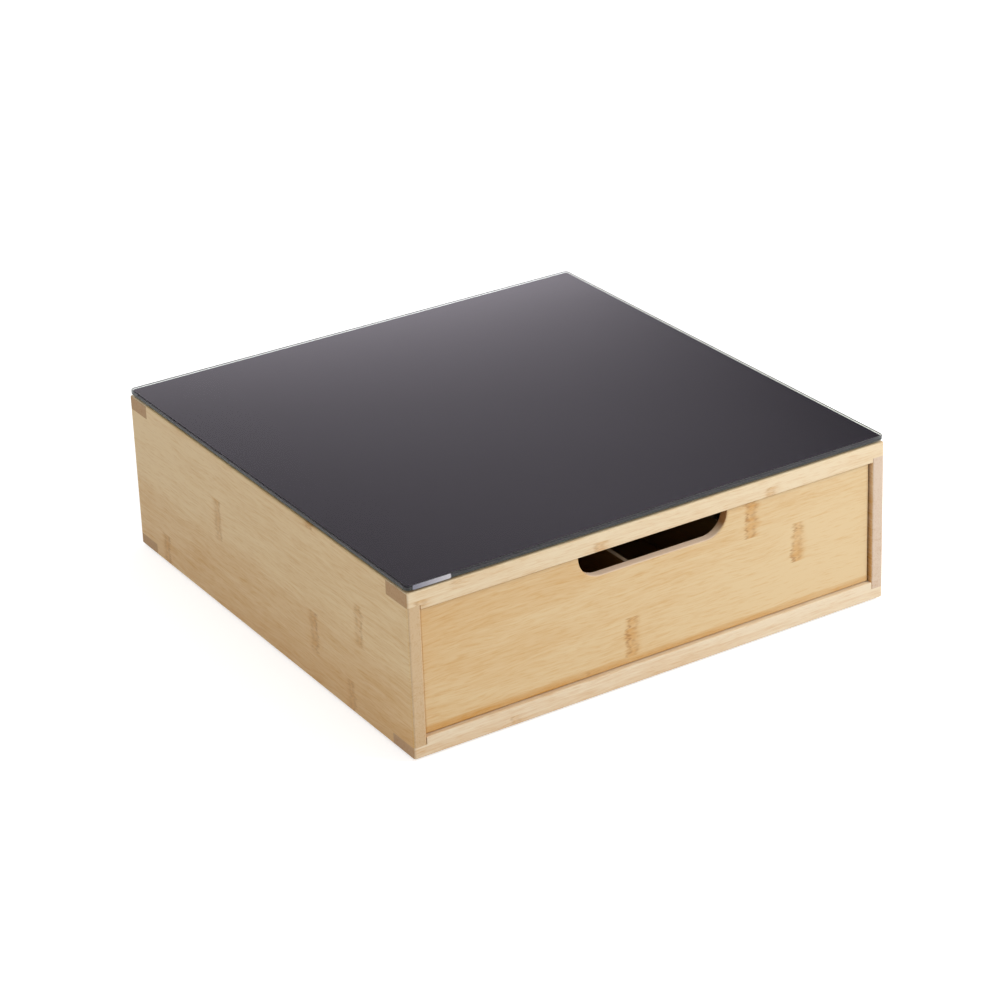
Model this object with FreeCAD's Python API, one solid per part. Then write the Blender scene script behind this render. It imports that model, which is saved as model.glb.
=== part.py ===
"""Coffee capsule drawer: a bamboo case with one drawer under a glass plate.

Units are millimetres. X runs to the right along the front, Y runs from the front to the
back, Z runs up. The origin lies on the ground under the middle of the case.
"""
import FreeCAD, Part
import os

from FreeCAD import Vector

# Case
case_width = 310.0
case_depth = 315.0
case_height = 96.2
side_thickness = 8.0
rail_depth = 21.0
rail_height = 11.0
upper_lap_step = 2.8
lower_lap_step = 4.2
corner_round = 1.5
edge_round = 0.8
inner_edge_round = 1.0

# Thin panels of the case, let into grooves
back_thickness = 4.0
back_inset = 6.0
floor_thickness = 4.0
floor_seat = 6.0
groove_depth = 3.0
panel_play = 0.15

# Pegs of the corner joints
peg_diameter = 3.0
peg_length = 18.0
peg_cover = 2.5

# Glass plate on its bumpers
glass_thickness = 3.0
glass_corner_radius = 3.0
glass_bevel = 0.4
glass_inset = 0.2
bumper_diameter = 8.0
bumper_height = 1.3
bumper_inset = 10.0

# Feet
foot_diameter = 10.0
foot_height = 1.5
foot_inset = 12.0
foot_bevel = 0.4

# Drawer
front_thickness = 6.0
front_recess = 2.5
front_side_gap = 0.8
front_top_gap = 0.5
front_round = 1.0
drawer_side_thickness = 7.0
drawer_side_height = 46.0
drawer_side_gap = 1.3
drawer_edge_round = 0.8
slide_gap = 0.3
stop_gap = 0.3
drawer_back_thickness = 7.0
drawer_back_setback = 5.0
drawer_bottom_thickness = 3.0
drawer_bottom_lift = 3.0
drawer_groove_depth = 2.5
divider_count = 3
divider_thickness = 3.0
divider_edge_round = 0.6
drawer_peg_diameter = 3.0
drawer_peg_length = 14.0
drawer_peg_cover = 3.0
drawer_peg_spacing = 26.0

# Finger notch in the top edge of the drawer front
notch_width = 96.6
notch_depth = 14.8
notch_radius = 13.5

# Places worked out from the sizes above
left = -case_width / 2
right = case_width / 2
front = -case_depth / 2
back = case_depth / 2
base = foot_height
top = base + case_height
inner_right = right - side_thickness
rail_inner_front = front + rail_depth
rail_inner_back = back - rail_depth
lower_rail_top = base + rail_height
lower_lap_top = lower_rail_top - lower_lap_step
upper_rail_bottom = top - rail_height
upper_lap_bottom = upper_rail_bottom + upper_lap_step
back_panel_rear = back - back_inset
back_panel_front = back_panel_rear - back_thickness
floor_bottom = lower_rail_top - floor_thickness
floor_front = rail_inner_front - floor_seat
floor_back = rail_inner_back + floor_seat
glass_bottom = top + bumper_height
glass_top_face = glass_bottom + glass_thickness

front_face = front + front_recess
front_rear = front_face + front_thickness
front_half_width = inner_right - front_side_gap
front_bottom = lower_rail_top + slide_gap
front_top = upper_rail_bottom - front_top_gap
box_right = inner_right - drawer_side_gap
box_inner_right = box_right - drawer_side_thickness
box_top = front_bottom + drawer_side_height
box_rear = back_panel_front - stop_gap
drawer_back_rear = box_rear - drawer_back_setback
drawer_back_front = drawer_back_rear - drawer_back_thickness
drawer_bottom_under = front_bottom + drawer_bottom_lift
drawer_bottom_over = drawer_bottom_under + drawer_bottom_thickness

SAME = 1e-4


def block(x0, x1, y0, y1, z0, z1):
    """Box between two corners."""
    return Part.makeBox(x1 - x0, y1 - y0, z1 - z0, Vector(x0, y0, z0))


def widened(x, y0, y1, z0, z1):
    """Box centred across the width, from -x to x."""
    return block(-x, x, y0, y1, z0, z1)


def mirrored(shape):
    """The same shape on the other side of the middle plane."""
    return shape.mirror(Vector(0, 0, 0), Vector(1, 0, 0))


def edges_at(shape, **places):
    """Edges that lie wholly at the given x, y or z."""
    found = []
    for edge in shape.Edges:
        box = edge.BoundBox
        low = {"x": box.XMin, "y": box.YMin, "z": box.ZMin}
        high = {"x": box.XMax, "y": box.YMax, "z": box.ZMax}
        if all(abs(low[a] - v) < SAME and abs(high[a] - v) < SAME for a, v in places.items()):
            found.append(edge)
    return found


def rounded(shape, radius, *places):
    """Shape with a round on every edge that lies at one of the places."""
    edges = []
    for place in places:
        for edge in edges_at(shape, **place):
            if not any(edge.isSame(other) for other in edges):
                edges.append(edge)
    return shape.makeFillet(radius, edges)


def peg(x, y, z, axis, diameter, length):
    """Round peg that starts at a point and runs along an axis."""
    return Part.makeCylinder(diameter / 2, length, Vector(x, y, z), axis)


def corner_peg_places():
    """Middle of each lapped corner, in the wood outside the grooves."""
    x = right - (side_thickness - groove_depth) / 2
    for y in (front + rail_depth / 2, back - rail_depth / 2):
        for side in (-1, 1):
            yield side * x, y


def upper_pegs():
    start = top - peg_cover - peg_length
    return [peg(x, y, start, Vector(0, 0, 1), peg_diameter, peg_length)
            for x, y in corner_peg_places()]


def lower_pegs():
    start = base + peg_cover
    return [peg(x, y, start, Vector(0, 0, 1), peg_diameter, peg_length)
            for x, y in corner_peg_places()]


def drawer_peg_places():
    """Two heights on the middle line of each drawer side."""
    x = (box_right + box_inner_right) / 2
    middle = (drawer_bottom_over + box_top) / 2
    for z in (middle - drawer_peg_spacing / 2, middle + drawer_peg_spacing / 2):
        for side in (-1, 1):
            yield side * x, z


def drawer_pegs():
    start = front_face + drawer_peg_cover
    return [peg(x, start, z, Vector(0, 1, 0), drawer_peg_diameter, drawer_peg_length)
            for x, z in drawer_peg_places()]


def back_panel_space(play):
    """Room of the thin back panel between the lapped rail ends."""
    x = inner_right + groove_depth
    return widened(x - play, back_panel_front, back_panel_rear, lower_lap_top, upper_lap_bottom - play)


def floor_panel_space(play):
    """Room of the thin floor panel, seated in the lower rails and the side panels."""
    x = inner_right + groove_depth
    return widened(x - play, floor_front, floor_back - play, floor_bottom, lower_rail_top)


def right_side_panel():
    """Side board with its corners notched for the rail ends and grooved for the panels."""
    board = block(inner_right, right, front, back, base, top)
    for y0, y1 in ((front, rail_inner_front), (rail_inner_back, back)):
        board = board.cut(block(inner_right, right, y0, y1, upper_lap_bottom, top))
        board = board.cut(block(inner_right, right, y0, y1, base, lower_lap_top))
    board = rounded(board, corner_round, {"x": right, "y": front}, {"x": right, "y": back})
    board = rounded(board, edge_round, {"x": right, "z": top}, {"x": right, "z": base})
    board = rounded(board, inner_edge_round, {"x": inner_right, "y": front}, {"x": inner_right, "y": back})
    board = board.cut([back_panel_space(0), floor_panel_space(0)])
    return board.cut(upper_pegs() + lower_pegs())


def upper_rail(y0, y1, outer):
    """Top rail: its ends are rebated from below and lap over the side panels."""
    lapped = widened(right, y0, y1, upper_lap_bottom, top)
    hanging = widened(inner_right, y0, y1, upper_rail_bottom, top)
    rail = lapped.fuse(hanging).removeSplitter()
    rail = rounded(rail, corner_round, {"x": left, "y": outer}, {"x": right, "y": outer})
    rail = rounded(rail, edge_round, {"x": left, "z": top}, {"x": right, "z": top}, {"y": outer, "z": top},
                   {"y": outer, "z": upper_rail_bottom})
    return rail.cut([back_panel_space(0)] + upper_pegs())


def lower_rail(y0, y1, outer):
    """Bottom rail: its ends are rebated from above and lap under the side panels."""
    lapped = widened(right, y0, y1, base, lower_lap_top)
    raised = widened(inner_right, y0, y1, base, lower_rail_top)
    rail = lapped.fuse(raised).removeSplitter()
    rail = rounded(rail, corner_round, {"x": left, "y": outer}, {"x": right, "y": outer})
    rail = rounded(rail, edge_round, {"x": left, "z": base}, {"x": right, "z": base}, {"y": outer, "z": base},
                   {"y": outer, "z": lower_rail_top})
    return rail.cut([back_panel_space(0), floor_panel_space(0)] + lower_pegs())


def glass_top():
    """Plate with round corners and a ground bevel round both faces."""
    x = right - glass_inset
    y = back - glass_inset
    plate = widened(x, -y, y, glass_bottom, glass_top_face)
    corners = ({"x": side_x, "y": side_y} for side_x in (-x, x) for side_y in (-y, y))
    plate = rounded(plate, glass_corner_radius, *corners)
    rims = edges_at(plate, z=glass_bottom) + edges_at(plate, z=glass_top_face)
    return plate.makeChamfer(glass_bevel, rims)


def corner_places(inset):
    """The four corners of the case, stepped in from its faces."""
    x = right - inset
    y = back - inset
    return {"front_left": (-x, -y), "front_right": (x, -y), "rear_left": (-x, y), "rear_right": (x, y)}


def bumper(x, y):
    return Part.makeCylinder(bumper_diameter / 2, bumper_height, Vector(x, y, top))


def foot(x, y):
    pad = Part.makeCylinder(foot_diameter / 2, foot_height, Vector(x, y, 0))
    return pad.makeChamfer(foot_bevel, edges_at(pad, z=0))


def notch_cutter():
    """Finger notch: a shallow U with quarter rounds, cut through the drawer front."""
    half = notch_width / 2
    low = front_top - notch_depth
    y = front_face - front_thickness
    start = Vector(-half, y, front_top + notch_depth)
    left_top = Vector(-half, y, low + notch_radius)
    left_low = Vector(-half + notch_radius, y, low)
    right_low = Vector(half - notch_radius, y, low)
    right_top = Vector(half, y, low + notch_radius)
    end = Vector(half, y, front_top + notch_depth)
    middle = notch_radius * (1 - 0.5 ** 0.5)
    left_bend = Part.Arc(left_top, Vector(-half + middle, y, low + middle), left_low)
    right_bend = Part.Arc(right_low, Vector(half - middle, y, low + middle), right_top)
    outline = Part.Wire([Part.LineSegment(start, left_top).toShape(), left_bend.toShape(),
                         Part.LineSegment(left_low, right_low).toShape(), right_bend.toShape(),
                         Part.LineSegment(right_top, end).toShape(), Part.LineSegment(end, start).toShape()])
    return Part.Face(outline).extrude(Vector(0, front_thickness * 3, 0))


def divider_places():
    """Middle planes of the dividers, which part the box into equal lanes."""
    lane = (2 * box_inner_right - divider_count * divider_thickness) / (divider_count + 1)
    pitch = lane + divider_thickness
    return [(i - (divider_count - 1) / 2) * pitch for i in range(divider_count)]


def divider(x):
    """Thin board between the drawer front and back, with rounded top edges."""
    half = divider_thickness / 2
    y0 = front_rear - drawer_groove_depth
    y1 = drawer_back_front + drawer_groove_depth
    board = block(x - half, x + half, y0, y1, drawer_bottom_over, box_top)
    return rounded(board, divider_edge_round, {"x": x - half, "z": box_top}, {"x": x + half, "z": box_top})


def divider_grooves():
    """Housings of the dividers in the drawer front and back."""
    half = divider_thickness / 2
    y0 = front_rear - drawer_groove_depth
    y1 = drawer_back_front + drawer_groove_depth
    return [block(x - half, x + half, y0, y1, drawer_bottom_over, box_top) for x in divider_places()]


def drawer_bottom():
    """Thin board held in grooves on all four sides."""
    x = box_inner_right + drawer_groove_depth
    y0 = front_rear - drawer_groove_depth
    y1 = drawer_back_front + drawer_groove_depth
    return widened(x, y0, y1, drawer_bottom_under, drawer_bottom_over)


def drawer_front():
    """Board with the finger notch, its rims rounded, grooved behind for the box."""
    board = widened(front_half_width, front_face, front_rear, front_bottom, front_top)
    board = board.cut(notch_cutter())
    board = board.makeFillet(front_round, edges_at(board, y=front_face))
    rear_rims = []
    for edge in edges_at(board, y=front_rear):
        if edge.BoundBox.ZMin > front_bottom + SAME and abs(edge.CenterOfMass.x) < notch_width / 2 + SAME:
            rear_rims.append(edge)
    board = board.makeFillet(front_round, rear_rims)
    return board.cut(divider_grooves() + [drawer_bottom()] + drawer_pegs())


def drawer_back_housing():
    """Room that the drawer back takes in the sides."""
    return widened(box_inner_right + drawer_groove_depth, drawer_back_front, drawer_back_rear,
                   front_bottom, box_top)


def drawer_right_side():
    """Side board with rounded top edges, grooved for the bottom and housed for the back."""
    board = block(box_inner_right, box_right, front_rear, box_rear, front_bottom, box_top)
    board = rounded(board, drawer_edge_round, {"x": box_inner_right, "z": box_top},
                    {"x": box_right, "z": box_top})
    return board.cut([drawer_bottom(), drawer_back_housing()] + drawer_pegs())


def drawer_back():
    board = drawer_back_housing()
    board = rounded(board, drawer_edge_round, {"y": drawer_back_front, "z": box_top},
                    {"y": drawer_back_rear, "z": box_top})
    return board.cut(divider_grooves() + [drawer_bottom()])


def build():
    """Every node of the drawer unit by name."""
    nodes = {
        "left_side_panel": mirrored(right_side_panel()),
        "right_side_panel": right_side_panel(),
        "top_front_rail": upper_rail(front, rail_inner_front, front),
        "bottom_front_rail": lower_rail(front, rail_inner_front, front),
        "top_rear_rail": upper_rail(rail_inner_back, back, back),
        "bottom_rear_rail": lower_rail(rail_inner_back, back, back),
        "back_panel": back_panel_space(panel_play),
        "bottom_panel": floor_panel_space(panel_play),
        "glass_top": glass_top(),
        "upper_corner_pegs": Part.makeCompound(upper_pegs()),
        "lower_corner_pegs": Part.makeCompound(lower_pegs()),
        "drawer_front": drawer_front(),
        "drawer_left_side": mirrored(drawer_right_side()),
        "drawer_right_side": drawer_right_side(),
        "drawer_back": drawer_back(),
        "drawer_bottom": drawer_bottom(),
        "drawer_front_pegs": Part.makeCompound(drawer_pegs()),
    }
    for place, (x, y) in corner_places(bumper_inset).items():
        nodes[place + "_bumper"] = bumper(x, y)
    for place, (x, y) in corner_places(foot_inset).items():
        nodes[place + "_foot"] = foot(x, y)
    for number, x in enumerate(divider_places(), start=1):
        nodes["divider_%d" % number] = divider(x)
    return nodes


os.makedirs("parts", exist_ok=True)
for name, shape in build().items():
    shape.exportStep(os.path.join("parts", name + ".step"))
    print(name, len(shape.Solids), "solids", round(shape.Volume / 1000, 2), "cm3", shape.isValid())
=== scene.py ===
"""Looks of a coffee capsule drawer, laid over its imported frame.

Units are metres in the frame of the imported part: X to the right along the front, Y to the
back, Z up. Patterns are worked out in millimetres from the same frame.
"""
import math

import bmesh
import bpy

from bpy.props import FloatProperty, FloatVectorProperty, PointerProperty
from mathutils import Matrix, Vector


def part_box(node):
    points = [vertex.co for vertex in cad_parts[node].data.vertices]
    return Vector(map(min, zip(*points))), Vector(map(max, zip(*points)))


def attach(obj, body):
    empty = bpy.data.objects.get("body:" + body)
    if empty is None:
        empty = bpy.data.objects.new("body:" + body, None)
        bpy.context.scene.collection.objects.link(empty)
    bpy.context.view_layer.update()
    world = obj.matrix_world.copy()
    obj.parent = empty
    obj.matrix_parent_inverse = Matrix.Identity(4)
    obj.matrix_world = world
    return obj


bl_info = {
    "name": "Coffee capsule drawer",
    "version": (1, 0, 0),
    "blender": (4, 5, 0),
    "location": "3D View > Sidebar > Capsule drawer",
    "description": "Bamboo, glass and small parts for the packed frame of a coffee capsule drawer",
    "category": "Object",
}

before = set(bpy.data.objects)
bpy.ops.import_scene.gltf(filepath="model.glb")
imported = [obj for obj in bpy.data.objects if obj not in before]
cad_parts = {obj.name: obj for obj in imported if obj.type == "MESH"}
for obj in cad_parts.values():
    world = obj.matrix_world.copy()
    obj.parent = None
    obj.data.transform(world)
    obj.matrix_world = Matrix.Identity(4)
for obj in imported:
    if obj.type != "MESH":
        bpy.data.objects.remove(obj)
MM = 0.001

# Camera at the photograph's angle, fitted to the edges of the case: its place in mm, its turn, fall
# and roll in degrees, its lens in mm and its shift in shares of the frame.
EYE = (-840.683, -1354.852, 810.812)
TURN, FALL, ROLL = -30.6643, 22.0323, -2.6071
LENS, SHIFT_X, SHIFT_Y = 109.976, 0.06546, -0.19001

# Studio that the glass reflects: degrees above the floor and level there.
SCREEN = ((21.4, 0.93), (22.2, 0.54), (23.0, 0.37), (23.8, 0.283), (25.0, 0.218), (27.0, 0.162),
          (37.0, 0.141), (60.0, 0.021))
SCREEN_TINT = (2.51, 2.34, 2.60)
# Where it is brightest: degrees above the floor and degrees to the right of straight back. To each
# side it fades over so many radians to the rest of its level.
SCREEN_WAY = ((22.0, 26.0), (26.0, 31.7))
SCREEN_FADE, SCREEN_REST = 0.2, 0.148

# Lamp: where it hangs and the point it faces, in metres.
LAMP = (0.8, -0.9, 0.75)
LAMP_AIM = (0.0, -0.1, 0.05)


def linear(code):
    """Linear colour with full alpha from an sRGB hex code such as E3C6A0."""
    parts = [int(code[i:i + 2], 16) / 255 for i in (0, 2, 4)]
    return tuple(c / 12.92 if c <= 0.04045 else ((c + 0.055) / 1.055) ** 2.4 for c in parts) + (1.0,)


def colour(name, description, code):
    """Colour setting that starts from an sRGB hex code."""
    return FloatVectorProperty(name=name, description=description, default=linear(code), size=4,
                               min=0.0, max=1.0, subtype="COLOR")


class BambooSettings(bpy.types.PropertyGroup):
    """Colours and strip widths of the pressed bamboo."""

    front_pale: colour("Front pale", "Pale ground of the drawer front", "DEC396")
    left_pale: colour("Left board pale", "Pale ground of the left side board", "E9CB99")
    right_pale: colour("Right board pale", "Pale ground of the right side board", "F0DABA")
    rail_pale: colour("Rail pale", "Pale ground of the upper rails", "E7D3B1")
    low_rail_pale: colour("Low rail pale", "Pale ground of the lower front rail", "E9D7BA")
    box_pale: colour("Box pale", "Pale ground of the drawer's sides and back", "D8B88A")
    thin_pale: colour("Thin board", "Ground of the thin bottom and back boards", "C29C6C")
    # Ground of the dividers and the drawer bottom, darkened to paint the shade inside the drawer.
    lane_shade: colour("Lane pale", "Ground of the dividers and the drawer bottom, of steamed bamboo",
                      "A98352")
    # Painted highlight on the top edges of the dividers, where light catches them.
    divider_top_highlight: colour("Divider top", "Sanded top edges of the dividers", "DCC4AC")
    deep: colour("Deep", "Darker fibres and strips from nearer the outer skin", "C58A30")
    node: colour("Growth node", "Tan band where the stalk had a joint", "CA9244")
    fleck: colour("Fleck", "Brown cut fibres in a growth node", "9C6A34")
    rail_end: colour("Rail end grain", "Tint of the cut ends of the rails", "D2BAA2")
    board_end: colour("Board end grain", "Tint of the cut ends of the side boards", "E6E4EE")
    # End grain of the drawer front, darker and browner than the other end tints: painted shade for the
    # inside of the notch.
    notch_end_and_shade: colour("Notch end grain", "Tint of the cut ends of the drawer front, burnished by the router",
                      "C3A184")
    # Painted highlight on the lip of the notch, where light catches it.
    notch_lip_highlight: colour("Notch lip", "Freshly sanded lip of the notch", "F6E0CE")
    front_strip: FloatProperty(name="Front strip", description="Width of a strip in the drawer front",
                               default=23.6 * MM, min=0.01, max=0.06, unit="LENGTH")
    side_strip: FloatProperty(name="Side strip", description="Width of a strip in the side boards",
                              default=24.95 * MM, min=0.01, max=0.06, unit="LENGTH")


class GlassSettings(bpy.types.PropertyGroup):
    """The plate, the lacquer under it and the bare label on its edge."""

    lacquer: colour("Lacquer", "Black lacquer under the glass", "251F29")
    tint: colour("Glass tint", "Faint green of float glass on its faces", "F4FAF7")
    edge: colour("Glass edge", "Grey green that the lower part of the ground edge scatters", "596563")
    rim_tint: colour("Rim tint", "Grey of the upper part of the ground edge", "DCD8E2")
    rim: FloatProperty(name="Clear rim", description="Glass left clear round the lacquer",
                       default=0.8 * MM, min=0.0, max=0.005, unit="LENGTH")
    label: colour("Label", "Bare silvery label on the front edge", "C6C3C7")
    # Painted shade that darkens the left end of the label.
    label_left_shade: colour("Label left", "Deeper left end of the label", "7C7C8A")
    label_width: FloatProperty(name="Label width", description="Length of the label along the edge",
                               default=22.9 * MM, min=0.005, max=0.1, unit="LENGTH")
    label_height: FloatProperty(name="Label height", description="Height of the label on the edge",
                                default=2.6 * MM, min=0.001, max=0.003, unit="LENGTH")


class SmallPartSettings(bpy.types.PropertyGroup):
    """Bumpers under the glass and feet under the case."""

    silicone: colour("Silicone", "Clear silicone bumpers", "EDEFEF")
    rubber: colour("Rubber", "Black rubber feet", "2B2A29")


class StageSettings(bpy.types.PropertyGroup):
    """Floor, lamp and surround."""

    floor: colour("Floor", "Pale matt floor", "E4E4E4")
    lamp_power: FloatProperty(name="Lamp power", description="Power of the large soft lamp",
                              default=8.8, min=0.0, max=100.0, unit="POWER")
    lamp_size: FloatProperty(name="Lamp size", description="Width of the large soft lamp",
                             default=0.5, min=0.05, max=4.0, unit="LENGTH")
    surround: FloatProperty(name="Surround", description="Level of the even light from all sides",
                            default=0.66, min=0.0, max=1.0)
    floor_lift: FloatProperty(name="Floor lift", description="Light added to the floor where it is seen",
                              default=0.62, min=0.0, max=2.0)


def add(tree, kind, inputs=None, **settings):
    """Adds a node with its settings, and sets or links its inputs."""
    node = tree.nodes.new(kind)
    for name, value in settings.items():
        setattr(node, name, value)
    for name, value in (inputs or {}).items():
        if isinstance(value, bpy.types.Node):
            value = next(socket for socket in value.outputs if socket.enabled)
        if isinstance(value, bpy.types.NodeSocket):
            tree.links.new(value, node.inputs[name])
        else:
            node.inputs[name].default_value = value
    return node


def new_material(name):
    """Material with an empty node tree."""
    material = bpy.data.materials.new(name)
    material.use_nodes = True
    material.node_tree.nodes.clear()
    return material, material.node_tree


def pressed_bamboo():
    """Node group that draws pressed bamboo from a place in mm, with x along the grain."""
    name = "pressed_bamboo"
    if name in bpy.data.node_groups:
        return bpy.data.node_groups[name]
    group = bpy.data.node_groups.new(name, "ShaderNodeTree")
    for port, kind in (("Place", "NodeSocketVector"), ("Shift", "NodeSocketFloat"),
                       ("Tone", "NodeSocketFloat"), ("Seam", "NodeSocketFloat"),
                       ("Node place", "NodeSocketFloat"), ("Node spacing", "NodeSocketFloat"),
                       ("Node strength", "NodeSocketFloat"), ("End", "NodeSocketFloat"),
                       ("Pores", "NodeSocketFloat"),
                       ("Pale", "NodeSocketColor"), ("Deep", "NodeSocketColor"),
                       ("Node", "NodeSocketColor"), ("Fleck", "NodeSocketColor"),
                       ("End tint", "NodeSocketColor")):
        group.interface.new_socket(port, in_out="INPUT", socket_type=kind)
    for port, kind in (("Color", "NodeSocketColor"), ("Roughness", "NodeSocketFloat"),
                       ("Relief", "NodeSocketFloat")):
        group.interface.new_socket(port, in_out="OUTPUT", socket_type=kind)
    given = add(group, "NodeGroupInput").outputs
    # How far to each side, in mm, the fibres wander, a growth node is ragged and its flecks fray.
    wander, ragged, frayed = 3.0, 3.5, 2.8

    # Each strip reads its own stretch of the pattern, and its fibres wander slowly to the side.
    shift = add(group, "ShaderNodeCombineXYZ", {"X": given["Shift"], "Z": given["Shift"]})
    spot = add(group, "ShaderNodeVectorMath", {0: given["Place"], 1: shift}, operation="ADD")
    slow = add(group, "ShaderNodeVectorMath", {0: spot, 1: (1 / 50, 1 / 15, 1 / 15)},
               operation="MULTIPLY")
    bend = add(group, "ShaderNodeTexNoise", {"Vector": slow, "Scale": 1.0, "Detail": 1.0})
    bend = add(group, "ShaderNodeMath", {0: bend, 1: 2 * wander, 2: -wander}, operation="MULTIPLY_ADD")
    bend = add(group, "ShaderNodeCombineXYZ", {"Y": bend})
    run = add(group, "ShaderNodeVectorMath", {0: spot, 1: bend}, operation="ADD")

    # Patterns stretched along the grain: length and width in mm, detail and roughness. The first
    # four draw the wood, from short fibres to clouds, and the rest the growth nodes.
    drawn = []
    for course, length, width, detail, rough in (
            (run, 9, 0.75, 2.0, 0.6), (run, 22, 1.6, 1.0, 0.5), (run, 60, 5, 1.0, 0.5),
            (run, 50, 18, 1.0, 0.5), (spot, 12, 5, 2.0, 0.6), (spot, 40, 0.8, 0.0, 0.5),
            (spot, 4, 2.2, 1.0, 0.5)):
        spread = add(group, "ShaderNodeVectorMath", {0: course, 1: (1 / length, 1 / width, 1 / width)},
                     operation="MULTIPLY")
        drawn.append(add(group, "ShaderNodeTexNoise", {
            "Vector": spread, "Scale": 1.0, "Detail": detail, "Roughness": rough}))
    fibres, streaks, bands, clouds, teeth, fray, grit = drawn

    # How deep the colour is: the tone of the strip, of which cut ends keep a quarter, and the
    # patterns with their shares. The last node takes off what the patterns add on average.
    tone = add(group, "ShaderNodeMath", {0: given["End"], 1: -0.75, 2: 1.0}, operation="MULTIPLY_ADD")
    tone = add(group, "ShaderNodeMath", {0: given["Tone"], 1: tone}, operation="MULTIPLY")
    dashes = add(group, "ShaderNodeMapRange", {0: fibres, 1: 0.50, 2: 0.72, 3: 0.0, 4: 0.18})
    depth = tone
    shares = ((fibres, 0.34), (dashes, 1.0), (streaks, 0.34), (bands, 0.30), (clouds, 0.32))
    for pattern, share in shares:
        depth = add(group, "ShaderNodeMath", {0: pattern, 1: share, 2: depth}, operation="MULTIPLY_ADD")
    depth = add(group, "ShaderNodeMath", {0: depth, 1: 0.68}, operation="SUBTRACT")

    # Thin glue line between two strips, clearer in some stretches than in others.
    line = add(group, "ShaderNodeMapRange", {0: given["Seam"], 1: 0.05, 2: 0.35, 3: 0.16, 4: 0.0})
    line = add(group, "ShaderNodeMath", {0: line, 1: streaks}, operation="MULTIPLY")
    depth = add(group, "ShaderNodeMath", {0: depth, 1: line}, operation="ADD", use_clamp=True)
    ground = add(group, "ShaderNodeMix", {0: depth, 6: given["Pale"], 7: given["Deep"]}, data_type="RGBA")

    # Growth node: a tan blur about 8 mm wide, with cut fibres in two broken columns of short dashes.
    parts = add(group, "ShaderNodeSeparateXYZ", {0: given["Place"]})
    along = add(group, "ShaderNodeMath", {0: parts.outputs["X"], 1: given["Node place"]},
                operation="SUBTRACT")
    half = add(group, "ShaderNodeMath", {0: given["Node spacing"], 1: 0.5}, operation="MULTIPLY")
    low = add(group, "ShaderNodeMath", {0: half, 1: -1.0}, operation="MULTIPLY")
    along = add(group, "ShaderNodeMath", {0: along, 1: half, 2: low}, operation="WRAP")
    teeth = add(group, "ShaderNodeMath", {0: teeth, 1: 2 * ragged, 2: -ragged},
                operation="MULTIPLY_ADD")
    along = add(group, "ShaderNodeMath", {0: along, 1: teeth}, operation="ADD")
    rise = add(group, "ShaderNodeMapRange", {0: along, 1: -3.0, 2: 1.5}, interpolation_type="SMOOTHSTEP")
    fall = add(group, "ShaderNodeMapRange", {0: along, 1: 2.5, 2: 10.0, 3: 1.0, 4: 0.0},
               interpolation_type="SMOOTHSTEP")
    blur = add(group, "ShaderNodeMath", {0: rise, 1: fall}, operation="MULTIPLY")
    mottle = add(group, "ShaderNodeMath", {0: streaks, 1: 1.0, 2: 0.02}, operation="MULTIPLY_ADD")
    blur = add(group, "ShaderNodeMath", {0: blur, 1: mottle}, operation="MULTIPLY")
    blur = add(group, "ShaderNodeMath", {0: blur, 1: given["Node strength"]}, operation="MULTIPLY",
               use_clamp=True)
    banded = add(group, "ShaderNodeMix", {0: blur, 6: ground.outputs[2], 7: given["Node"]},
                 data_type="RGBA")
    fray = add(group, "ShaderNodeMath", {0: fray, 1: 2 * frayed, 2: -frayed}, operation="MULTIPLY_ADD")
    fray = add(group, "ShaderNodeMath", {0: along, 1: fray}, operation="ADD")
    near = 0.0
    for middle, reach, strength in ((0.0, 1.8, 0.62), (4.5, 2.2, 0.42)):
        column = add(group, "ShaderNodeMath", {0: fray, 1: middle}, operation="SUBTRACT")
        column = add(group, "ShaderNodeMath", {0: column}, operation="ABSOLUTE")
        column = add(group, "ShaderNodeMapRange", {0: column, 1: 0.3, 2: reach, 3: strength, 4: 0.0})
        near = add(group, "ShaderNodeMath", {0: near, 1: column}, operation="ADD")
    grit = add(group, "ShaderNodeMapRange", {0: grit, 1: 0.30, 2: 0.66})
    flecks = add(group, "ShaderNodeMath", {0: near, 1: grit}, operation="MULTIPLY")
    flecks = add(group, "ShaderNodeMath", {0: flecks, 1: given["Node strength"]}, operation="MULTIPLY",
                 use_clamp=True)
    face = add(group, "ShaderNodeMix", {0: flecks, 6: banded.outputs[2], 7: given["Fleck"]},
               data_type="RGBA")

    # Cut ends: a darker tint with the pores of the fibre bundles, about a millimetre apart.
    pores = add(group, "ShaderNodeVectorMath", {0: spot, 1: (0.0, 1.0, 1.0)}, operation="MULTIPLY")
    pores = add(group, "ShaderNodeTexVoronoi", {"Vector": pores, "Scale": 1.1})
    pores = add(group, "ShaderNodeMapRange", {
        0: pores.outputs["Distance"], 1: 0.12, 2: 0.42, 3: 1.0, 4: 0.0})
    pores = add(group, "ShaderNodeMath", {0: pores, 1: given["Pores"]}, operation="MULTIPLY")
    cut = add(group, "ShaderNodeMix", {0: 1.0, 6: ground.outputs[2], 7: given["End tint"]},
              data_type="RGBA", blend_type="MULTIPLY")
    cut = add(group, "ShaderNodeMix", {0: pores, 6: cut.outputs[2], 7: given["Fleck"]}, data_type="RGBA")
    whole = add(group, "ShaderNodeMix", {0: given["End"], 6: face.outputs[2], 7: cut.outputs[2]},
                data_type="RGBA")

    rough = add(group, "ShaderNodeMath", {0: streaks, 1: 0.16, 2: 0.40}, operation="MULTIPLY_ADD")
    rough = add(group, "ShaderNodeMath", {0: given["End"], 1: 0.14, 2: rough}, operation="MULTIPLY_ADD")
    relief = add(group, "ShaderNodeMath", {0: flecks, 1: -0.8, 2: fibres}, operation="MULTIPLY_ADD")
    add(group, "NodeGroupOutput", {"Color": whole.outputs[2], "Roughness": rough, "Relief": relief})
    return group


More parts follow.
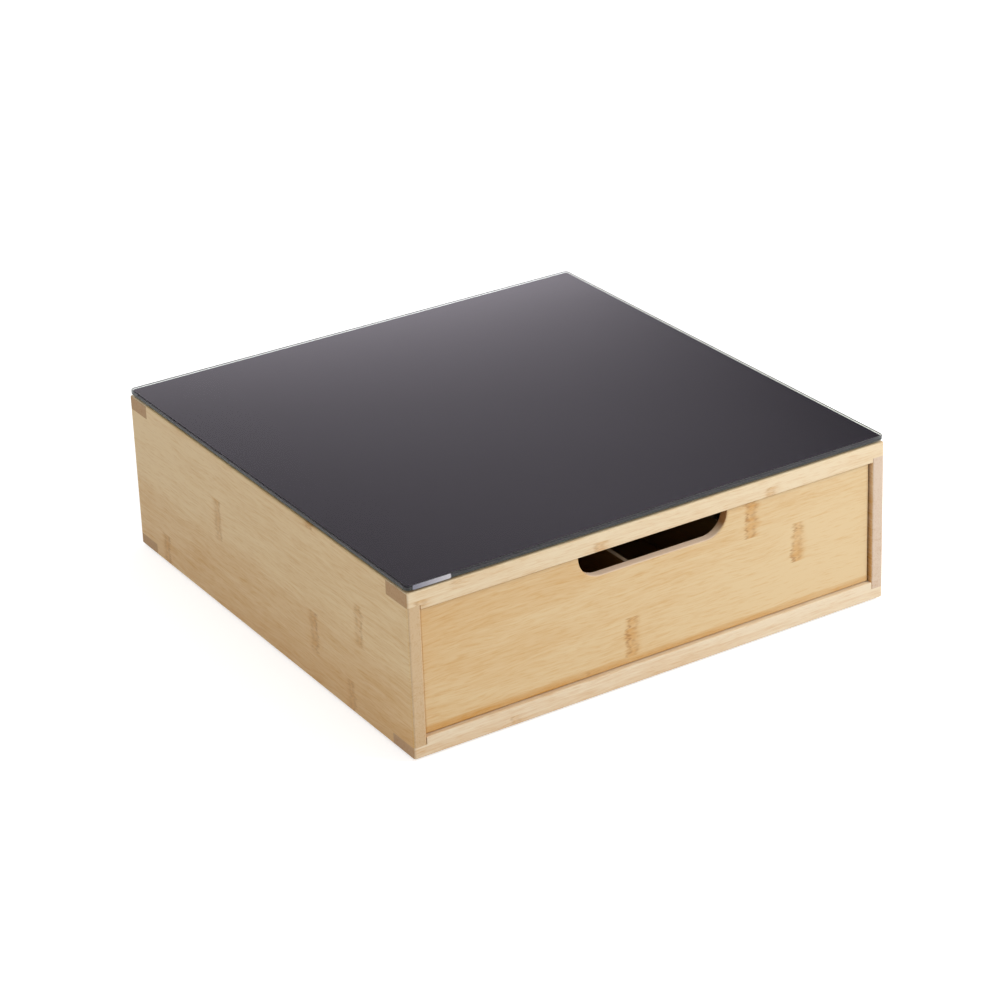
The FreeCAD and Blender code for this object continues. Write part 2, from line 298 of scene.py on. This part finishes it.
def bamboo(name, grain, across, strip, start, strips, seed, pale, end_tint, lean=0.0, pores=0.05, soft=0.06,
           inner_shade=0.0, top=None):
    """Pressed bamboo, sanded and finished with a clear matt lacquer: pale strips side by side with
    fine straight fibres and growth nodes, a soft sheen, and darker pored ends.

    Each strip is its tone, where its growth node lies in mm, how strong that is and how far apart
    the nodes of the stalk are. Without strips, they are scattered. Lean is how much deeper the
    tone gets for each metre along the grain; where it pales a board towards the lamp on the
    right, it is a painted light gradient. Pores is how dark those of the cut ends are, soft how
    much of a strip its tone takes to pass into the next, and the inside shade how much deeper
    the tone is on faces turned to the middle of the case, a painted shade for the inside of the
    case. Top is the colour of faces turned up, a painted highlight.
    """
    wood = bpy.context.scene.capsule_bamboo
    material, tree = new_material(name)
    source = add(tree, "ShaderNodeTexCoord")
    place = add(tree, "ShaderNodeVectorMath", {0: source.outputs["Object"], 1: (1 / MM,) * 3},
                operation="MULTIPLY")
    parts = add(tree, "ShaderNodeSeparateXYZ", {0: place}).outputs
    third = ({"X", "Y", "Z"} - {grain, across}).pop()
    turned = add(tree, "ShaderNodeCombineXYZ", {"X": parts[grain], "Y": parts[across], "Z": parts[third]})
    count = add(tree, "ShaderNodeMath", {0: parts[across], 1: start}, operation="SUBTRACT")
    count = add(tree, "ShaderNodeMath", {0: count, 1: strip}, operation="DIVIDE")
    seam = add(tree, "ShaderNodeMath", {0: count, 1: 0.5}, operation="PINGPONG")
    seam = add(tree, "ShaderNodeMath", {0: seam, 1: strip}, operation="MULTIPLY")
    index = add(tree, "ShaderNodeMath", {0: count}, operation="FLOOR")
    if strips:
        # The first ramp is a table with one step for each strip: green is where its node lies, blue
        # how strong the node is and alpha how far apart the nodes are. The second holds the tones.
        lots = len(strips)
        span = 800.0
        step = add(tree, "ShaderNodeMath", {0: index, 1: 0.5}, operation="ADD")
        step = add(tree, "ShaderNodeMath", {0: step, 1: lots}, operation="DIVIDE")
        table = add(tree, "ShaderNodeValToRGB", {0: step})
        table.color_ramp.interpolation = "CONSTANT"
        sweep = add(tree, "ShaderNodeMath", {0: count, 1: lots}, operation="DIVIDE")
        sweep = add(tree, "ShaderNodeValToRGB", {0: sweep})
        steps, tones = table.color_ramp.elements, sweep.color_ramp.elements
        for i, (depth, middle, strong, apart) in enumerate(strips):
            stop = steps[0] if i == 0 else steps.new(i / lots)
            stop.color = (0.0, middle / span + 0.5, strong, apart / span)
            for spot in ((i + soft) / lots, (i + 1 - soft) / lots):
                tones.new(spot).color = (depth, depth, depth, 1.0)
        steps.remove(steps[-1])
        tones.remove(tones[0])
        tones.remove(tones[-1])
        read = add(tree, "ShaderNodeSeparateColor", {0: table.outputs["Color"]}).outputs
        strength = read["Blue"]
        tone = sweep.outputs["Color"]
        node = add(tree, "ShaderNodeMath", {0: read["Green"], 1: span, 2: -span / 2},
                   operation="MULTIPLY_ADD")
        spacing = add(tree, "ShaderNodeMath", {0: table.outputs["Alpha"], 1: span}, operation="MULTIPLY")
    else:
        # Scattered by chance: tones up to 0.30 deep and growth nodes up to 0.9 strong.
        spacing = 260.0
        lot = add(tree, "ShaderNodeMath", {0: index, 1: seed * 17.0}, operation="ADD")
        chance = add(tree, "ShaderNodeTexWhiteNoise", {"W": lot}, noise_dimensions="1D")
        read = add(tree, "ShaderNodeSeparateColor", {0: chance.outputs["Color"]}).outputs
        tone = add(tree, "ShaderNodeMath", {0: read["Red"], 1: 0.30}, operation="MULTIPLY")
        node = add(tree, "ShaderNodeMath", {0: read["Green"], 1: spacing}, operation="MULTIPLY")
        strength = add(tree, "ShaderNodeMath", {0: read["Blue"], 1: 0.9}, operation="MULTIPLY")
    tone = add(tree, "ShaderNodeMath", {0: parts[grain], 1: lean * MM, 2: tone}, operation="MULTIPLY_ADD")
    turn = add(tree, "ShaderNodeSeparateXYZ", {0: source.outputs["Normal"]}).outputs
    if inner_shade:
        # Painted shade for the inside of the case: faces that look across the middle plane, whose normal
        # points against their place, take a deeper tone.
        shaded_inward = add(tree, "ShaderNodeMath", {0: turn["X"], 1: parts["X"]}, operation="MULTIPLY")
        shaded_inward = add(tree, "ShaderNodeMath", {0: shaded_inward, 1: -50.0}, operation="LESS_THAN")
        tone = add(tree, "ShaderNodeMath", {0: shaded_inward, 1: inner_shade, 2: tone}, operation="MULTIPLY_ADD")
    # Each strip and each board starts elsewhere in the pattern, so many mm on.
    next_strip, next_board = 57.0, 310.0
    shift = add(tree, "ShaderNodeMath", {0: index, 1: next_strip, 2: seed * next_board},
                operation="MULTIPLY_ADD")
    end = add(tree, "ShaderNodeMath", {0: turn[grain]}, operation="ABSOLUTE")
    end = add(tree, "ShaderNodeMapRange", {0: end, 1: 0.6, 2: 0.85})
    look = add(tree, "ShaderNodeGroup", {
        "Place": turned, "Shift": shift, "Tone": tone, "Seam": seam, "Node place": node,
        "Node spacing": spacing, "Node strength": strength, "End": end, "Pores": pores, "Pale": pale,
        "Deep": wood.deep, "Node": wood.node, "Fleck": wood.fleck, "End tint": end_tint,
    }, node_tree=pressed_bamboo()).outputs
    shade = look["Color"]
    # Faces turned up take the top colour, a painted highlight.
    if top:
        up = add(tree, "ShaderNodeMapRange", {0: turn["Z"], 1: 0.5, 2: 0.9, 3: 0.0, 4: 0.7})
        shade = add(tree, "ShaderNodeMix", {0: up, 6: shade, 7: top}, data_type="RGBA").outputs[2]
    bump = add(tree, "ShaderNodeBump", {"Height": look["Relief"], "Strength": 0.6, "Distance": 0.06 * MM})
    shader = add(tree, "ShaderNodeBsdfPrincipled", {
        "Base Color": shade, "Roughness": look["Roughness"], "IOR": 1.5, "Normal": bump})
    add(tree, "ShaderNodeOutputMaterial", {"Surface": shader})
    return material


def finish_nodes(material, *names):
    """Gives CAD nodes their material."""
    for name in names:
        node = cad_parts[name]
        node.data.materials.clear()
        node.data.materials.append(material)


def slab(shape, near, far):
    """Closed thin slab between two rings of points."""
    near = [shape.verts.new(point) for point in near]
    far = [shape.verts.new(point) for point in far]
    shape.faces.new(near)
    shape.faces.new(far)
    for i in range(len(near)):
        j = (i + 1) % len(near)
        shape.faces.new((near[i], near[j], far[j], far[i]))


def new_piece(name, mesh_maker, material, body):
    """Object from a bmesh, riding on a body and finished with the given material."""
    mesh = bpy.data.meshes.new(name)
    shape = bmesh.new()
    mesh_maker(shape)
    bmesh.ops.recalc_face_normals(shape, faces=shape.faces)
    shape.to_mesh(mesh)
    shape.free()
    piece = bpy.data.objects.new(name, mesh)
    bpy.context.scene.collection.objects.link(piece)
    mesh.materials.append(material)
    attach(piece, body)


class SideBoards(bpy.types.Operator):
    """Finishes the two side boards of the case."""

    bl_idname = "capsule.side_boards"
    bl_label = "Side boards"

    def execute(self, context):
        wood = context.scene.capsule_bamboo
        strip = wood.side_strip / MM
        # The left board's strips, from the bottom up, get deeper towards the floor: partly their own tone,
        # partly painted shade near the floor.
        left = ((0.52, -96, 0.8, 216), (0.37, -58, 0.8, 400), (0.12, -108, 0.7, 158), (0.10, 190, 0.5, 500),
                (0.08, -59, 0.8, 400))
        right = ((0.34, 40, 0.8, 300), (0.26, -70, 0.8, 260), (0.12, 95, 0.8, 280), (0.02, 10, 0.8, 240),
                 (0.00, 120, 0.8, 300))
        # Both boards take painted shade on the faces turned into the case, the right one more.
        finish_nodes(bamboo("bamboo_side_left", "Y", "Z", strip, -4.95, left, 1.0, wood.left_pale,
                            wood.board_end, lean=-0.3, soft=0.3, inner_shade=0.15), "left_side_panel")
        finish_nodes(bamboo("bamboo_side_right", "Y", "Z", strip, -12.0, right, 2.0, wood.right_pale,
                            wood.board_end, soft=0.3, inner_shade=0.5), "right_side_panel")
        return {"FINISHED"}


class Rails(bpy.types.Operator):
    """Finishes the four rails that lap over and under the side boards."""

    bl_idname = "capsule.rails"
    bl_label = "Rails"

    def execute(self, context):
        wood = context.scene.capsule_bamboo
        upper = ((0.12, -38, 0.6, 112), (0.10, -127, 0.4, 500))
        lower = ((0.24, -94, 0.5, 500), (0.10, 250, 0.5, 600))
        plain = ((0.14, 60, 0.8, 300), (0.08, -40, 0.8, 280))
        # Both front rails lean paler to the right: a painted light gradient that follows the lamp.
        finish_nodes(bamboo("bamboo_rail_top", "X", "Z", 5.5, 86.7, upper, 3.0, wood.rail_pale,
                            wood.rail_end, lean=-0.3, pores=0.25), "top_front_rail")
        finish_nodes(bamboo("bamboo_rail_bottom", "X", "Z", 5.5, 1.5, lower, 4.0, wood.low_rail_pale,
                            wood.rail_end, lean=-0.7, pores=0.25), "bottom_front_rail")
        finish_nodes(bamboo("bamboo_rail_rear", "X", "Z", 50.0, -10.0, plain, 5.0, wood.rail_pale,
                            wood.rail_end, pores=0.25), "top_rear_rail", "bottom_rear_rail")
        return {"FINISHED"}


class ThinPanels(bpy.types.Operator):
    """Finishes the thin back and bottom boards of the case."""

    bl_idname = "capsule.thin_panels"
    bl_label = "Thin panels"

    def execute(self, context):
        wood = context.scene.capsule_bamboo
        finish_nodes(bamboo("bamboo_back_panel", "X", "Z", 21.0, 0.0, None, 6.0, wood.thin_pale,
                            wood.board_end), "back_panel")
        finish_nodes(bamboo("bamboo_bottom_panel", "X", "Y", 21.0, 0.0, None, 7.0, wood.thin_pale,
                            wood.board_end), "bottom_panel")
        return {"FINISHED"}


class GlassTop(bpy.types.Operator):
    """Finishes the glass plate, and lays the black lacquer under it."""

    bl_idname = "capsule.glass_top"
    bl_label = "Glass top"

    def execute(self, context):
        look = context.scene.capsule_glass
        # Float glass, cut and its edges ground: sharp in reflection on its faces, satin round its
        # edges, where the lower part of the ground surface also scatters a grey green, and a faint
        # green in depth.
        glass, tree = new_material("clear_float_glass")
        source = add(tree, "ShaderNodeTexCoord")
        tilt = add(tree, "ShaderNodeSeparateXYZ", {0: source.outputs["Normal"]})
        tilt = add(tree, "ShaderNodeMath", {0: tilt.outputs["Z"]}, operation="ABSOLUTE")
        satin = add(tree, "ShaderNodeMapRange", {0: tilt, 1: 0.75, 2: 0.95, 3: 0.5, 4: 0.0})
        round_edge = add(tree, "ShaderNodeMapRange", {0: tilt, 1: 0.1, 2: 0.3, 3: 1.0, 4: 0.0})
        height = add(tree, "ShaderNodeSeparateXYZ", {0: source.outputs["Object"]})
        lower = add(tree, "ShaderNodeMapRange", {
            0: height.outputs["Z"], 1: 100.3 * MM, 2: 100.8 * MM, 3: 1.0, 4: 0.0})
        lower = add(tree, "ShaderNodeMath", {0: lower, 1: round_edge}, operation="MULTIPLY")
        clear = add(tree, "ShaderNodeMath", {0: lower, 1: -0.2, 2: 1.0}, operation="MULTIPLY_ADD")
        shade = add(tree, "ShaderNodeMix", {0: round_edge, 6: look.tint, 7: look.rim_tint},
                    data_type="RGBA")
        shade = add(tree, "ShaderNodeMix", {0: lower, 6: shade.outputs[2], 7: look.edge},
                    data_type="RGBA")
        shader = add(tree, "ShaderNodeBsdfPrincipled", {
            "Base Color": shade.outputs[2], "Roughness": satin, "IOR": 1.52, "Transmission Weight": clear})
        green = (0.55, 0.93, 0.82, 1.0)
        inside = add(tree, "ShaderNodeVolumeAbsorption", {"Color": green, "Density": 12.0})
        add(tree, "ShaderNodeOutputMaterial", {"Surface": shader, "Volume": inside})
        finish_nodes(glass, "glass_top")

        # Screen-printed black lacquer: an even black with a faint mottle from the print. It is
        # bonded to the glass, so it has no reflection of its own.
        lacquer, tree = new_material("black_lacquer")
        source = add(tree, "ShaderNodeTexCoord")
        mottle = add(tree, "ShaderNodeTexNoise", {"Vector": source.outputs["Object"], "Scale": 900.0})
        rough = add(tree, "ShaderNodeMapRange", {0: mottle, 1: 0.3, 2: 0.7, 3: 0.45, 4: 0.6})
        shader = add(tree, "ShaderNodeBsdfPrincipled", {
            "Base Color": look.lacquer, "Roughness": rough, "Specular IOR Level": 0.0})
        add(tree, "ShaderNodeOutputMaterial", {"Surface": shader})

        low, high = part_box("glass_top")
        radius = 3.0 * MM
        steps = 8
        under, over = low.z + 0.03 * MM, low.z + 0.08 * MM

        def sheet(shape):
            """Sheet with round corners, bonded inside the underside of the plate."""
            ring = []
            corners = ((high.x, high.y), (low.x, high.y), (low.x, low.y), (high.x, low.y))
            for turn, (x, y) in enumerate(corners):
                centre = Vector((x - math.copysign(radius, x), y - math.copysign(radius, y)))
                for step in range(steps + 1):
                    angle = (turn + step / steps) * math.pi / 2
                    ring.append(centre + Vector((math.cos(angle), math.sin(angle))) * (radius - look.rim))
            slab(shape, [(p.x, p.y, under) for p in ring], [(p.x, p.y, over) for p in ring])

        new_piece("glass_lacquer", sheet, lacquer, "case")
        return {"FINISHED"}


class EdgeLabel(bpy.types.Operator):
    """Puts the bare label on the front edge of the glass."""

    bl_idname = "capsule.edge_label"
    bl_label = "Edge label"

    def execute(self, context):
        look = context.scene.capsule_glass
        # Thin metallised film: a pale silver with a soft sheen, and painted shade that deepens it towards
        # its left end.
        film, tree = new_material("silver_film")
        source = add(tree, "ShaderNodeTexCoord")
        cloud = add(tree, "ShaderNodeTexNoise", {"Vector": source.outputs["Object"], "Scale": 400.0})
        rough = add(tree, "ShaderNodeMapRange", {0: cloud, 1: 0.3, 2: 0.7, 3: 0.3, 4: 0.42})
        low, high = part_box("glass_top")
        start = low.x + 3.8 * MM
        end = start + look.label_width
        run = add(tree, "ShaderNodeSeparateXYZ", {0: source.outputs["Object"]})
        run = add(tree, "ShaderNodeMapRange", {0: run.outputs["X"], 1: start, 2: end})
        film_and_shade = add(tree, "ShaderNodeMix", {0: run, 6: look.label_left_shade, 7: look.label},
                          data_type="RGBA")
        shader = add(tree, "ShaderNodeBsdfPrincipled", {
            "Base Color": film_and_shade.outputs[2], "Roughness": rough, "IOR": 1.5})
        add(tree, "ShaderNodeOutputMaterial", {"Surface": shader})
        middle = (low.z + high.z) / 2
        z0, z1 = middle - look.label_height / 2, middle + look.label_height / 2
        cut = 0.3 * MM
        front, back = low.y - 0.10 * MM, low.y - 0.01 * MM

        def strip(shape):
            """Thin strip with its corners cut off."""
            ring = [(start + cut, z0), (end - cut, z0), (end, z0 + cut), (end, z1 - cut), (end - cut, z1),
                    (start + cut, z1), (start, z1 - cut), (start, z0 + cut)]
            slab(shape, [(x, front, z) for x, z in ring], [(x, back, z) for x, z in ring])

        new_piece("edge_label", strip, film, "case")
        return {"FINISHED"}


class BumpersAndFeet(bpy.types.Operator):
    """Finishes the bumpers under the glass and the feet under the case."""

    bl_idname = "capsule.bumpers_and_feet"
    bl_label = "Bumpers and feet"

    def execute(self, context):
        look = context.scene.capsule_small
        # Clear silicone, moulded: milky, soft edged, lets the light through.
        silicone, tree = new_material("clear_silicone")
        shader = add(tree, "ShaderNodeBsdfPrincipled", {
            "Base Color": look.silicone, "Roughness": 0.25, "IOR": 1.41, "Transmission Weight": 0.9})
        add(tree, "ShaderNodeOutputMaterial", {"Surface": shader})
        # Black rubber, die-cut from sheet: dull, with a fine grain.
        rubber, tree = new_material("black_rubber")
        source = add(tree, "ShaderNodeTexCoord")
        grain = add(tree, "ShaderNodeTexNoise", {"Vector": source.outputs["Object"], "Scale": 2500.0})
        bump = add(tree, "ShaderNodeBump", {"Height": grain, "Strength": 0.4, "Distance": 0.05 * MM})
        shader = add(tree, "ShaderNodeBsdfPrincipled", {
            "Base Color": look.rubber, "Roughness": 0.8, "IOR": 1.52, "Normal": bump})
        add(tree, "ShaderNodeOutputMaterial", {"Surface": shader})
        corners = ("front_left", "front_right", "rear_left", "rear_right")
        finish_nodes(silicone, *(corner + "_bumper" for corner in corners))
        finish_nodes(rubber, *(corner + "_foot" for corner in corners))
        return {"FINISHED"}


class Pegs(bpy.types.Operator):
    """Finishes the hidden pegs of the corner and drawer joints."""

    bl_idname = "capsule.pegs"
    bl_label = "Pegs"

    def execute(self, context):
        wood = context.scene.capsule_bamboo
        finish_nodes(bamboo("bamboo_pegs_upright", "Z", "X", 400.0, -200.0, None, 8.0, wood.box_pale,
                            wood.board_end), "upper_corner_pegs", "lower_corner_pegs")
        finish_nodes(bamboo("bamboo_pegs_level", "Y", "X", 400.0, -200.0, None, 9.0, wood.box_pale,
                            wood.board_end), "drawer_front_pegs")
        return {"FINISHED"}


class DrawerFront(bpy.types.Operator):
    """Finishes the drawer front."""

    bl_idname = "capsule.drawer_front"
    bl_label = "Drawer front"

    def execute(self, context):
        wood = context.scene.capsule_bamboo
        # The lowest strip is the deepest: its own darker tone, with painted shade where the front meets the
        # lower rail.
        strips = ((0.59, -44, 0.5, 600), (0.12, -18, 1.0, 600), (0.14, 94, 1.0, 600), (0.22, 62, 1.0, 600))
        # The front leans paler to the right: a painted light gradient that follows the lamp.
        finish_nodes(bamboo("bamboo_drawer_front", "X", "Z", wood.front_strip / MM, -6.8, strips, 10.0,
                            wood.front_pale, wood.notch_end_and_shade, lean=-1.1, soft=0.04, top=wood.notch_lip_highlight),
                     "drawer_front")
        return {"FINISHED"}


class DrawerBox(bpy.types.Operator):
    """Finishes the sides, back and bottom of the drawer."""

    bl_idname = "capsule.drawer_box"
    bl_label = "Drawer box"

    def execute(self, context):
        wood = context.scene.capsule_bamboo
        finish_nodes(bamboo("bamboo_drawer_sides", "Y", "Z", 23.0, -6.0, None, 11.0, wood.box_pale,
                            wood.board_end), "drawer_left_side", "drawer_right_side")
        finish_nodes(bamboo("bamboo_drawer_back", "X", "Z", 23.0, -6.0, None, 12.0, wood.box_pale,
                            wood.board_end), "drawer_back")
        # The bottom takes the lanes' ground, darkened to paint the shade inside the drawer.
        finish_nodes(bamboo("bamboo_drawer_bottom", "Y", "X", 21.0, 0.0, None, 13.0, wood.lane_shade,
                            wood.board_end), "drawer_bottom")
        return {"FINISHED"}


class Dividers(bpy.types.Operator):
    """Finishes the dividers that make the lanes."""

    bl_idname = "capsule.dividers"
    bl_label = "Dividers"

    def execute(self, context):
        wood = context.scene.capsule_bamboo
        # Painted shade and highlight: the lanes' ground is darkened for the shade inside the drawer, and the
        # top edges are made pale where light catches them.
        finish_nodes(bamboo("bamboo_dividers", "Y", "Z", 23.0, -2.0, None, 14.0, wood.lane_shade,
                            wood.board_end, top=wood.divider_top_highlight), "divider_1", "divider_2", "divider_3")
        return {"FINISHED"}


def lay_floor(scene, look):
    """Lays a plain floor under the feet."""
    # Matt painted floor: plain and pale. The camera sees it lifted to white, less the shadow.
    paint, tree = new_material("matt_floor")
    shader = add(tree, "ShaderNodeBsdfDiffuse", {"Color": look.floor})
    path = add(tree, "ShaderNodeLightPath").outputs
    seen = add(tree, "ShaderNodeMath", {0: path["Is Camera Ray"], 1: path["Is Glossy Ray"]},
               operation="MAXIMUM")
    seen = add(tree, "ShaderNodeMath", {0: seen, 1: path["Is Transmission Ray"]}, operation="MAXIMUM")
    lift = add(tree, "ShaderNodeMath", {0: seen, 1: look.floor_lift}, operation="MULTIPLY")
    glow = add(tree, "ShaderNodeEmission", {"Strength": lift})
    both = add(tree, "ShaderNodeAddShader", {0: shader, 1: glow})
    add(tree, "ShaderNodeOutputMaterial", {"Surface": both})
    mesh = bpy.data.meshes.new("floor")
    shape = bmesh.new()
    bmesh.ops.create_grid(shape, x_segments=1, y_segments=1, size=4.0)
    shape.to_mesh(mesh)
    shape.free()
    floor = bpy.data.objects.new("floor", mesh)
    floor.location.z = -0.1 * MM
    scene.collection.objects.link(floor)
    mesh.materials.append(paint)


def hang_lamp(scene, look):
    """Hangs one large soft lamp at the front right."""
    lamp = bpy.data.lights.new("soft_lamp", "AREA")
    lamp.shape = "SQUARE"
    lamp.size = look.lamp_size
    lamp.energy = look.lamp_power
    hung = bpy.data.objects.new("soft_lamp", lamp)
    hung.location = LAMP
    aim = Vector(LAMP_AIM) - hung.location
    hung.rotation_euler = aim.to_track_quat("-Z", "Y").to_euler()
    # Hidden from sharp reflections, so that the glass doesn't mirror its square.
    hung.visible_glossy = False
    scene.collection.objects.link(hung)


def light_surround(scene, look):
    """Lights the scene evenly, and gives the glass a studio to reflect."""
    # White surround for the camera and for what is seen through glass, an even light on the
    # object, and for reflections a grey studio with a bright low screen behind on the right.
    world = bpy.data.worlds.new("studio")
    world.use_nodes = True
    tree = world.node_tree
    tree.nodes.clear()
    path = add(tree, "ShaderNodeLightPath").outputs
    source = add(tree, "ShaderNodeTexCoord")
    parts = add(tree, "ShaderNodeSeparateXYZ", {0: source.outputs["Generated"]}).outputs
    # The studio in reflections: its level by height, brightest round one direction that
    # turns with height.
    rise = add(tree, "ShaderNodeValToRGB", {0: parts["Z"]})
    rise.color_ramp.interpolation = "B_SPLINE"
    for i, (angle, value) in enumerate(SCREEN):
        spot = math.sin(math.radians(angle))
        stop = rise.color_ramp.elements[0] if i == 0 else rise.color_ramp.elements.new(spot)
        stop.position = spot
        stop.color = (value, value, value, 1.0)
    rise.color_ramp.elements.remove(rise.color_ramp.elements[-1])
    way = add(tree, "ShaderNodeMath", {0: parts["X"], 1: parts["Y"]}, operation="ARCTAN2")
    near, far = ((math.sin(math.radians(height)), math.radians(turn)) for height, turn in SCREEN_WAY)
    middle = add(tree, "ShaderNodeMapRange", {
        0: parts["Z"], 1: near[0], 2: far[0], 3: near[1], 4: far[1]})
    side = add(tree, "ShaderNodeMath", {0: way, 1: middle}, operation="SUBTRACT")
    side = add(tree, "ShaderNodeMath", {0: side, 1: side}, operation="MULTIPLY")
    side = add(tree, "ShaderNodeMapRange", {
        0: side, 1: 0.0, 2: SCREEN_FADE ** 2, 3: 1.0, 4: SCREEN_REST})
    mirror = add(tree, "ShaderNodeMath", {0: side, 1: rise}, operation="MULTIPLY")
    mirror = add(tree, "ShaderNodeVectorMath", {0: mirror, 1: SCREEN_TINT}, operation="MULTIPLY")
    even = (look.surround,) * 3 + (1.0,)
    level = add(tree, "ShaderNodeMix", {0: path["Is Glossy Ray"], 6: even, 7: mirror}, data_type="RGBA")
    white = add(tree, "ShaderNodeMath", {0: path["Is Camera Ray"], 1: path["Is Transmission Ray"]},
                operation="MAXIMUM")
    level = add(tree, "ShaderNodeMix", {0: white, 6: level.outputs[2], 7: (1.0, 1.0, 1.0, 1.0)},
                data_type="RGBA")
    light = add(tree, "ShaderNodeBackground", {"Color": level.outputs[2]})
    add(tree, "ShaderNodeOutputWorld", {"Surface": light})
    scene.world = world


def set_camera(scene):
    """Sets the camera at the photograph's angle."""
    camera = bpy.data.cameras.new("camera")
    camera.sensor_width = 36.0
    camera.lens = LENS
    camera.shift_x = SHIFT_X
    camera.shift_y = SHIFT_Y
    camera.clip_end = 30.0
    eye = bpy.data.objects.new("camera", camera)
    turn, fall, roll = math.radians(TURN), math.radians(FALL), math.radians(ROLL)
    back = Vector((math.sin(turn) * math.cos(fall), -math.cos(turn) * math.cos(fall), math.sin(fall)))
    right = Vector((math.cos(turn), math.sin(turn), 0.0))
    up = back.cross(right)
    across = right * math.cos(roll) + up * math.sin(roll)
    over = up * math.cos(roll) - right * math.sin(roll)
    pose = Matrix((across, over, back)).transposed().to_4x4()
    pose.translation = Vector(EYE) * MM
    eye.matrix_world = pose
    scene.collection.objects.link(eye)
    scene.camera = eye


class Stage(bpy.types.Operator):
    """Lays the floor, hangs the lamp, lights the surround and sets the camera."""

    bl_idname = "capsule.stage"
    bl_label = "Stage"

    def execute(self, context):
        scene = context.scene
        look = scene.capsule_stage
        lay_floor(scene, look)
        hang_lamp(scene, look)
        light_surround(scene, look)
        set_camera(scene)
        scene.view_settings.view_transform = "Standard"
        return {"FINISHED"}


# The steps in the order in which they run.
STEPS = (Stage, SideBoards, Rails, ThinPanels, GlassTop, EdgeLabel, BumpersAndFeet, Pegs, DrawerFront,
         DrawerBox, Dividers)


class CapsulePanel(bpy.types.Panel):
    """Lists the steps that dress the frame."""

    bl_idname = "VIEW3D_PT_capsule"
    bl_label = "Capsule drawer"
    bl_space_type = "VIEW_3D"
    bl_region_type = "UI"
    bl_category = "Capsule drawer"

    def draw(self, context):
        for group in (context.scene.capsule_bamboo, context.scene.capsule_glass,
                      context.scene.capsule_small, context.scene.capsule_stage):
            box = self.layout.box()
            for name in group.__annotations__:
                box.prop(group, name)
        for step in STEPS:
            self.layout.operator(step.bl_idname)


SETTINGS = (("capsule_bamboo", BambooSettings), ("capsule_glass", GlassSettings),
            ("capsule_small", SmallPartSettings), ("capsule_stage", StageSettings))


def register():
    """Registers the settings, the steps and the panel."""
    for name, group in SETTINGS:
        bpy.utils.register_class(group)
        setattr(bpy.types.Scene, name, PointerProperty(type=group))
    for step in STEPS + (CapsulePanel,):
        bpy.utils.register_class(step)


def unregister():
    """Takes the panel, the steps and the settings out again."""
    for step in (CapsulePanel,) + STEPS[::-1]:
        bpy.utils.unregister_class(step)
    for name, group in SETTINGS:
        delattr(bpy.types.Scene, name)
        bpy.utils.unregister_class(group)


def main():
    """Dresses the frame."""
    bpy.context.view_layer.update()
    register()
    for step in STEPS:
        getattr(bpy.ops.capsule, step.bl_idname.split(".")[1])()


if __name__ == "__main__":
    main()
